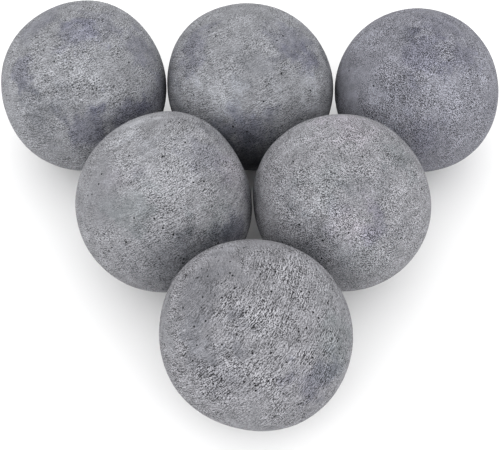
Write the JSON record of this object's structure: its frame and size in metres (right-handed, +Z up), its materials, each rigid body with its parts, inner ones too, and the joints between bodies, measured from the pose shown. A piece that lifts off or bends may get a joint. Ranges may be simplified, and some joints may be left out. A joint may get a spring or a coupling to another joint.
{
  "type": "basalt massage stone set",
  "caption": "Loose ball-shaped basalt massage stones laid out in a triangle, each a palm-sized matte grey stone for hot or cold massage.",
  "frame": {"origin": "middle of the set's footprint, on the surface that the stones stand on", "axes": "+X to the right along the back row of three stones, the set's longest side; +Y from the single front stone towards the back row; +Z up"},
  "size_m": [0.1802, 0.1668, 0.0598],
  "materials": {
    "front_basalt": "matte",
    "middle_left_basalt": "matte",
    "middle_right_basalt": "matte",
    "back_left_basalt": "matte",
    "back_middle_basalt": "matte",
    "back_right_basalt": "matte"
  },
  "bodies": {
    "middle_left": {"middle_left_stone": "middle_left_basalt"},
    "front": {"front_stone": "front_basalt"},
    "middle_right": {"middle_right_stone": "middle_right_basalt"},
    "back_left": {"back_left_stone": "back_left_basalt"},
    "back_middle": {"back_middle_stone": "back_middle_basalt"},
    "back_right": {"back_right_stone": "back_right_basalt"}
  },
  "joints": [
    {"name": "front_lift", "type": "slide", "parent": "middle_left", "child": "front", "axis": [0, 0, 1], "range_m": [0, 0.075]},
    {"name": "middle_right_lift", "type": "slide", "parent": "middle_left", "child": "middle_right", "axis": [0, 0, 1], "range_m": [0, 0.075]},
    {"name": "back_left_lift", "type": "slide", "parent": "middle_left", "child": "back_left", "axis": [0, 0, 1], "range_m": [0, 0.075]},
    {"name": "back_middle_lift", "type": "slide", "parent": "middle_left", "child": "back_middle", "axis": [0, 0, 1], "range_m": [0, 0.075]},
    {"name": "back_right_lift", "type": "slide", "parent": "middle_left", "child": "back_right", "axis": [0, 0, 1], "range_m": [0, 0.075]}
  ]
}
